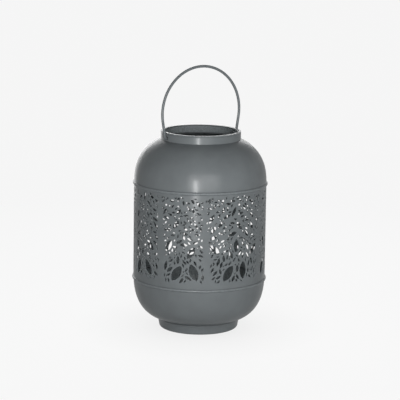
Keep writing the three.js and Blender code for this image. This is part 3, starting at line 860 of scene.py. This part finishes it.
METAL_SHADES = (0.85, 1.1)
METAL_GRAIN_AXES = (1.0, 1.0, 6.0)
METAL_ROUGHNESS_SHARES = (0.7, 1.3)
METAL_DENT_STRENGTH = 0.35
METAL_DENT_DEPTH = 0.4 * MM
METAL_GRAIN_STRENGTH = 0.12
METAL_GRAIN_DEPTH = 0.04 * MM

WAX_CLOUD_SCALE = 160.0
WAX_SKIN_SCALE = 420.0
WAX_SHADES = (0.92, 1.04)
WAX_ROUGHNESS = (0.3, 0.5)
WAX_SWELL_STRENGTH = 0.2
WAX_SWELL_DEPTH = 0.6 * MM
WAX_SKIN_STRENGTH = 0.25
WAX_SKIN_DEPTH = 0.2 * MM
WAX_GLOW = 0.5
WAX_GLOW_RADII = (2.5, 2.0, 1.5)

COTTON_FIBRE_SCALE = 6000.0
COTTON_FIBRE_AXES = (1.0, 1.0, 0.25)
COTTON_SHADES = (0.75, 1.08)
COTTON_ROUGHNESS = (0.8, 0.95)
COTTON_STRENGTH = 0.6
COTTON_DEPTH = 0.08 * MM


def node_material(name):
    material = bpy.data.materials.new(name)
    material.use_nodes = True
    return material, material.node_tree, material.node_tree.nodes["Principled BSDF"]


def object_place(tree):
    return tree.nodes.new("ShaderNodeTexCoord").outputs["Object"]


def scaled_place(tree, place, axes):
    """Coordinates scaled along X, Y and Z, so that noise on them is drawn out."""
    node = tree.nodes.new("ShaderNodeMapping")
    node.inputs["Scale"].default_value = axes
    tree.links.new(place, node.inputs["Vector"])
    return node.outputs["Vector"]


def noise(tree, place, scale, detail=2.0):
    node = tree.nodes.new("ShaderNodeTexNoise")
    node.inputs["Scale"].default_value = scale
    node.inputs["Detail"].default_value = detail
    tree.links.new(place, node.inputs["Vector"])
    return node.outputs[0]


def spread(tree, value, low, high, from_low=0.0, from_high=1.0):
    """A value mapped from one range to another, and kept inside it."""
    node = tree.nodes.new("ShaderNodeMapRange")
    limits = {"From Min": from_low, "From Max": from_high, "To Min": low, "To Max": high}
    for name, number in limits.items():
        node.inputs[name].default_value = number
    tree.links.new(value, node.inputs["Value"])
    return node.outputs["Result"]


def spread_noise(tree, value, low=0.0, high=1.0):
    """Noise mapped from the range that it mostly fills to another."""
    return spread(tree, value, low, high, *NOISE_RANGE)


def product(tree, first, second):
    node = tree.nodes.new("ShaderNodeMath")
    node.operation = "MULTIPLY"
    tree.links.new(first, node.inputs[0])
    tree.links.new(second, node.inputs[1])
    return node.outputs[0]


def mixed(tree, share, first, second):
    """A colour between two others, each a socket or a plain colour."""
    node = tree.nodes.new("ShaderNodeMix")
    node.data_type = "RGBA"
    tree.links.new(share, node.inputs[0])
    for place, colour in zip(MIX_COLOUR_INPUTS, (first, second)):
        socket = node.inputs[place]
        if isinstance(colour, bpy.types.NodeSocket):
            tree.links.new(colour, socket)
        else:
            socket.default_value = (*colour, 1.0)
    return node.outputs[MIX_COLOUR_OUTPUT]


def bump(tree, height, strength, distance, normal=None):
    node = tree.nodes.new("ShaderNodeBump")
    node.inputs["Strength"].default_value = strength
    node.inputs["Distance"].default_value = distance
    tree.links.new(height, node.inputs["Height"])
    if normal:
        tree.links.new(normal, node.inputs["Normal"])
    return node.outputs["Normal"]


def shade(colour, factor):
    """A lighter or darker shade of a colour."""
    return tuple(min(channel * factor, 1.0) for channel in colour)


def shaded(tree, share, colour, shades):
    """A colour that runs between two shades of itself."""
    return mixed(tree, share, shade(colour, shades[0]), shade(colour, shades[1]))


def record_colour(slot):
    return next(row["base_color"] for row in frame["record"]["materials"] if row["slot"] == slot)


def powder_coat(name, slot, painted_light_tint=1.0, relief=1.0):
    """Satin powder coat: cloudy tone, fine orange peel, paler edges from wear and painted light, and
    painted shade in creases and joins.
    """
    material, tree, shader = node_material(name)
    # Painted light: a tint above 1 lightens the colour
    colour = shade(record_colour(slot), painted_light_tint)
    place = object_place(tree)
    tone = tree.nodes.new("ShaderNodeAttribute")
    tone.attribute_name = "tone"
    cloud = noise(tree, place, COAT_CLOUD_SCALE, detail=4.0)
    scuff = noise(tree, place, COAT_SCUFF_SCALE, detail=3.0)
    base = shaded(tree, spread_noise(tree, cloud), colour, COAT_CLOUD_SHADES)
    # Positive tones mix towards the paler shade, as rubbed wear and painted light; negative tones mix
    # towards the darker shade, as painted shade
    wear_and_light_share = spread(tree, tone.outputs["Fac"], 0.0, 1.0, 0.0, INSIDE_PAINTED_LIGHT_TONE)
    scuffed_wear_and_light = product(tree, wear_and_light_share, spread(tree, scuff, *COAT_SCUFF_SHARES, *COAT_SCUFF_RANGE))
    painted_shade_share = spread(tree, tone.outputs["Fac"], COAT_PAINTED_SHADE_SHARE, 0.0, CREASE_SHADE_TONE, 0.0)
    worn_and_lit = mixed(tree, scuffed_wear_and_light, base, shade(colour, COAT_WEAR_AND_LIGHT_SHADE))
    tree.links.new(mixed(tree, painted_shade_share, worn_and_lit, shade(colour, COAT_PAINTED_SHADE)), shader.inputs["Base Color"])
    tree.links.new(spread_noise(tree, scuff, *COAT_ROUGHNESS), shader.inputs["Roughness"])
    waves = noise(tree, place, COAT_SWAY_SCALE, detail=1.0)
    sway = bump(tree, waves, COAT_SWAY_STRENGTH * relief, COAT_SWAY_DEPTH)
    grains = noise(tree, place, COAT_PEEL_SCALE)
    peel = bump(tree, grains, COAT_PEEL_STRENGTH * relief, COAT_PEEL_DEPTH, sway)
    tree.links.new(peel, shader.inputs["Normal"])
    tree.links.new(peel, shader.inputs["Coat Normal"])
    shader.inputs["Specular IOR Level"].default_value = COAT_UNDER_SPECULAR
    shader.inputs["Coat Weight"].default_value = COAT_WEIGHT
    shader.inputs["Coat Roughness"].default_value = COAT_TOP_ROUGHNESS
    return material


def bare_metal(name, slot, roughness, grain_scale, dent_scale):
    """Thin bare metal: uneven sheen, fine rolling grain round the axis and shallow dents."""
    material, tree, shader = node_material(name)
    colour = record_colour(slot)
    place = object_place(tree)
    grain = noise(tree, scaled_place(tree, place, METAL_GRAIN_AXES), grain_scale, detail=4.0)
    cloud = noise(tree, place, dent_scale, detail=3.0)
    sheen = shaded(tree, spread_noise(tree, cloud), colour, METAL_SHADES)
    tree.links.new(sheen, shader.inputs["Base Color"])
    uneven = spread_noise(tree, grain, *(share * roughness for share in METAL_ROUGHNESS_SHARES))
    tree.links.new(uneven, shader.inputs["Roughness"])
    shader.inputs["Metallic"].default_value = 1.0
    dents = bump(tree, cloud, METAL_DENT_STRENGTH, METAL_DENT_DEPTH)
    rolled = bump(tree, grain, METAL_GRAIN_STRENGTH, METAL_GRAIN_DEPTH, dents)
    tree.links.new(rolled, shader.inputs["Normal"])
    return material


def paraffin(name, slot):
    """Poured wax: milky, a little mottled, with a faintly uneven skin."""
    material, tree, shader = node_material(name)
    colour = record_colour(slot)
    place = object_place(tree)
    cloud = noise(tree, place, WAX_CLOUD_SCALE, detail=4.0)
    skin = noise(tree, place, WAX_SKIN_SCALE, detail=3.0)
    milky = shaded(tree, spread_noise(tree, cloud), colour, WAX_SHADES)
    tree.links.new(milky, shader.inputs["Base Color"])
    tree.links.new(spread_noise(tree, skin, *WAX_ROUGHNESS), shader.inputs["Roughness"])
    swell = bump(tree, cloud, WAX_SWELL_STRENGTH, WAX_SWELL_DEPTH)
    poured = bump(tree, skin, WAX_SKIN_STRENGTH, WAX_SKIN_DEPTH, swell)
    tree.links.new(poured, shader.inputs["Normal"])
    shader.inputs["Subsurface Weight"].default_value = WAX_GLOW
    shader.inputs["Subsurface Radius"].default_value = WAX_GLOW_RADII
    shader.inputs["Subsurface Scale"].default_value = MM
    return material


def cotton(name, slot):
    """Waxed cotton yarn: fibres along the strands, paler and darker threads."""
    material, tree, shader = node_material(name)
    colour = record_colour(slot)
    place = object_place(tree)
    fibre = noise(tree, scaled_place(tree, place, COTTON_FIBRE_AXES), COTTON_FIBRE_SCALE, detail=4.0)
    yarn = shaded(tree, spread_noise(tree, fibre), colour, COTTON_SHADES)
    tree.links.new(yarn, shader.inputs["Base Color"])
    tree.links.new(spread(tree, fibre, *COTTON_ROUGHNESS), shader.inputs["Roughness"])
    tree.links.new(bump(tree, fibre, COTTON_STRENGTH, COTTON_DEPTH), shader.inputs["Normal"])
    return material


# Studio

BACKDROP = (0.921, 0.921, 0.921)
FLOOR_TONES = ((0.34, 0.34, 0.34), (0.37, 0.37, 0.37))
FLOOR_PATCH_SCALE = 9.0
FLOOR_SEEN_SHARE = 0.995
FLOOR_SHADOW_SHARE = 0.04
FLOOR_SHADOW_REACH = (0.15, 0.8)
# Painted shadow: ambient occlusion darkens the floor's seen colour near the lantern
FLOOR_PAINTED_SHADOW_REACH = 0.09
FLOOR_PAINTED_SHADOW_TONE = 0.88
FLOOR_REACH = 40.0
AMBIENT = 0.09
CEILING = 0.1
CEILING_CLIMB = (0.25, 0.9)


def seen_rays(tree):
    """1 for what the camera, a mirror or a glass sees, and 0 for the light that falls on surfaces."""
    path = tree.nodes.new("ShaderNodeLightPath")
    total = path.outputs["Is Camera Ray"]
    for name in ("Is Glossy Ray", "Is Transmission Ray"):
        node = tree.nodes.new("ShaderNodeMath")
        node.use_clamp = True
        tree.links.new(total, node.inputs[0])
        tree.links.new(path.outputs[name], node.inputs[1])
        total = node.outputs[0]
    return total


def studio_world():
    """White walls under a dim ceiling."""
    world = bpy.data.worlds.new("studio")
    bpy.context.scene.world = world
    world.use_nodes = True
    tree = world.node_tree
    sky = tree.nodes["Background"]
    direction = tree.nodes.new("ShaderNodeTexCoord").outputs["Generated"]
    split = tree.nodes.new("ShaderNodeSeparateXYZ")
    tree.links.new(direction, split.inputs[0])
    climb = spread(tree, split.outputs["Z"], 0.0, 1.0, *CEILING_CLIMB)
    tree.links.new(mixed(tree, climb, BACKDROP, shade(BACKDROP, CEILING)), sky.inputs["Color"])
    tree.links.new(spread(tree, seen_rays(tree), AMBIENT, 1.0), sky.inputs["Strength"])


def studio_floor_material():
    """Pale matt floor that the camera and glossy surfaces see as nearly white, with a faint lamp shadow and
    a painted shadow near the lantern.
    """
    material, tree, shader = node_material("studio_floor")
    tree.nodes.remove(shader)
    output = tree.nodes["Material Output"]
    place = object_place(tree)
    matt = tree.nodes.new("ShaderNodeBsdfDiffuse")
    patchy = noise(tree, place, FLOOR_PATCH_SCALE, detail=3.0)
    tree.links.new(mixed(tree, patchy, *FLOOR_TONES), matt.inputs["Color"])
    # Painted shadow from ambient occlusion near the lantern
    painted_shadow = tree.nodes.new("ShaderNodeAmbientOcclusion")
    painted_shadow.inputs["Distance"].default_value = FLOOR_PAINTED_SHADOW_REACH
    glow = tree.nodes.new("ShaderNodeEmission")
    glow_colour = mixed(tree, painted_shadow.outputs["AO"], shade(BACKDROP, FLOOR_PAINTED_SHADOW_TONE), BACKDROP)
    tree.links.new(glow_colour, glow.inputs["Color"])
    glow.inputs["Strength"].default_value = FLOOR_SEEN_SHARE
    dim = tree.nodes.new("ShaderNodeBsdfDiffuse")
    away = tree.nodes.new("ShaderNodeVectorMath")
    away.operation = "LENGTH"
    tree.links.new(place, away.inputs[0])
    fading = spread(tree, away.outputs["Value"], FLOOR_SHADOW_SHARE, 0.0, *FLOOR_SHADOW_REACH)
    tree.links.new(fading, dim.inputs["Color"])
    both = tree.nodes.new("ShaderNodeAddShader")
    tree.links.new(glow.outputs[0], both.inputs[0])
    tree.links.new(dim.outputs[0], both.inputs[1])
    choice = tree.nodes.new("ShaderNodeMixShader")
    tree.links.new(seen_rays(tree), choice.inputs[0])
    tree.links.new(matt.outputs[0], choice.inputs[1])
    tree.links.new(both.outputs[0], choice.inputs[2])
    tree.links.new(choice.outputs[0], output.inputs["Surface"])
    return material


def studio_floor():
    mesh = bpy.data.meshes.new("studio_floor")
    corners = [(x * FLOOR_REACH, y * FLOOR_REACH, 0) for x, y in ((-1, -1), (1, -1), (1, 1), (-1, 1))]
    mesh.from_pydata(corners, [], [(0, 1, 2, 3)])
    floor = bpy.data.objects.new("studio_floor", mesh)
    bpy.context.scene.collection.objects.link(floor)
    floor.data.materials.append(studio_floor_material())


def around_axis(azimuth, distance, height):
    """A place round the lantern; azimuth 0 is on its -Y side, and it grows towards +X."""
    return Vector((math.sin(azimuth) * distance, -math.cos(azimuth) * distance, height))


@dataclass(frozen=True)
class Softbox:
    """A rectangular lamp at an azimuth from the camera's, facing a height on the lantern's axis."""
    name: str
    azimuth: float
    height: float
    distance: float
    size: tuple
    power: float
    aim_z: float
    diffuse: bool = True
    glossy: bool = True

    def hang(self):
        lamp = bpy.data.lights.new(self.name, "AREA")
        lamp.shape = "RECTANGLE"
        lamp.size, lamp.size_y = self.size
        lamp.energy = self.power
        turn = CAMERA_AZIMUTH + math.radians(self.azimuth)
        place = around_axis(turn, self.distance, self.height)
        aim = (Vector((0, 0, self.aim_z)) - place).to_track_quat("-Z", "Y")
        rig = bpy.data.objects.new(self.name, lamp)
        rig.matrix_world = Matrix.Translation(place) @ aim.to_matrix().to_4x4()
        rig.visible_camera = False
        rig.visible_diffuse = self.diffuse
        rig.visible_glossy = self.glossy
        bpy.context.scene.collection.objects.link(rig)


SOFTBOXES = (
    Softbox("front", azimuth=6.0, height=0.39, distance=1.3, size=(1.25, 0.7), power=18.5, aim_z=0.2),
    Softbox("back", azimuth=180.0, height=0.55, distance=1.6, size=(1.8, 0.6), power=30.0, aim_z=0.2,
            glossy=False),
    Softbox("strip", azimuth=-7.0, height=0.17, distance=0.6, size=(0.04, 0.23), power=2.5, aim_z=0.17,
            diffuse=False),
    Softbox("rim", azimuth=-176.0, height=0.62, distance=1.6, size=(1.25, 0.68), power=8.2, aim_z=0.24,
            diffuse=False),
    Softbox("left_rim", azimuth=-161.0, height=0.18, distance=0.8, size=(0.5, 0.34), power=1.35, aim_z=0.18,
            diffuse=False),
)


def studio_camera():
    camera = bpy.data.objects.new("camera", bpy.data.cameras.new("camera"))
    camera.data.sensor_width = SENSOR_WIDTH
    camera.data.lens = FOCAL_PIXELS / IMAGE_PIXELS * SENSOR_WIDTH
    place = around_axis(CAMERA_AZIMUTH, CAMERA_DISTANCE, CAMERA_HEIGHT)
    turn = Matrix.Rotation(CAMERA_AZIMUTH, 4, "Z") @ Matrix.Rotation(math.pi / 2 - CAMERA_PITCH, 4, "X")
    camera.matrix_world = Matrix.Translation(place) @ turn @ Matrix.Rotation(CAMERA_ROLL, 4, "Z")
    bpy.context.scene.collection.objects.link(camera)
    bpy.context.scene.camera = camera


def dress(piece, body, node, material):
    """Gives a piece its material and body, and hides the CAD part that it stands in for."""
    piece.data.materials.clear()
    piece.data.materials.append(material)
    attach(piece, body)
    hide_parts(node)


bpy.context.scene.view_settings.view_transform = "Standard"
studio_camera()
studio_world()
studio_floor()
for box in SOFTBOXES:
    box.hang()

paint = powder_coat("powder_coat", "grey_paint")
wire_paint = powder_coat("wire_coat", "grey_wire", WIRE_PAINTED_LIGHT_TINT, WIRE_RELIEF)
dress(foot_ring(), "lantern_body", "foot_ring", paint)
dress(base_bowl(), "lantern_body", "base_bowl", paint)
dress(pierced_band(), "lantern_body", "pierced_band", paint)
dress(shoulder_dome(), "lantern_body", "shoulder_dome", paint)
dress(neck_collar(), "lantern_body", "neck_collar", paint)
dress(bail_wire(), "bail", "bail_handle", wire_paint)
foil = bare_metal("cup_foil", "foil", roughness=0.32, grain_scale=900.0, dent_scale=260.0)
tin = bare_metal("tinned_steel", "tin", roughness=0.38, grain_scale=1400.0, dent_scale=500.0)
dress(tealight_cup(), "tealight", "tealight_cup", foil)
dress(tealight_wax(), "tealight", "tealight_wax", paraffin("paraffin", "wax"))
dress(tealight_wick(), "tealight", "tealight_wick", cotton("wick_cotton", "wick"))
dress(wick_sustainer(), "tealight", "wick_sustainer", tin)
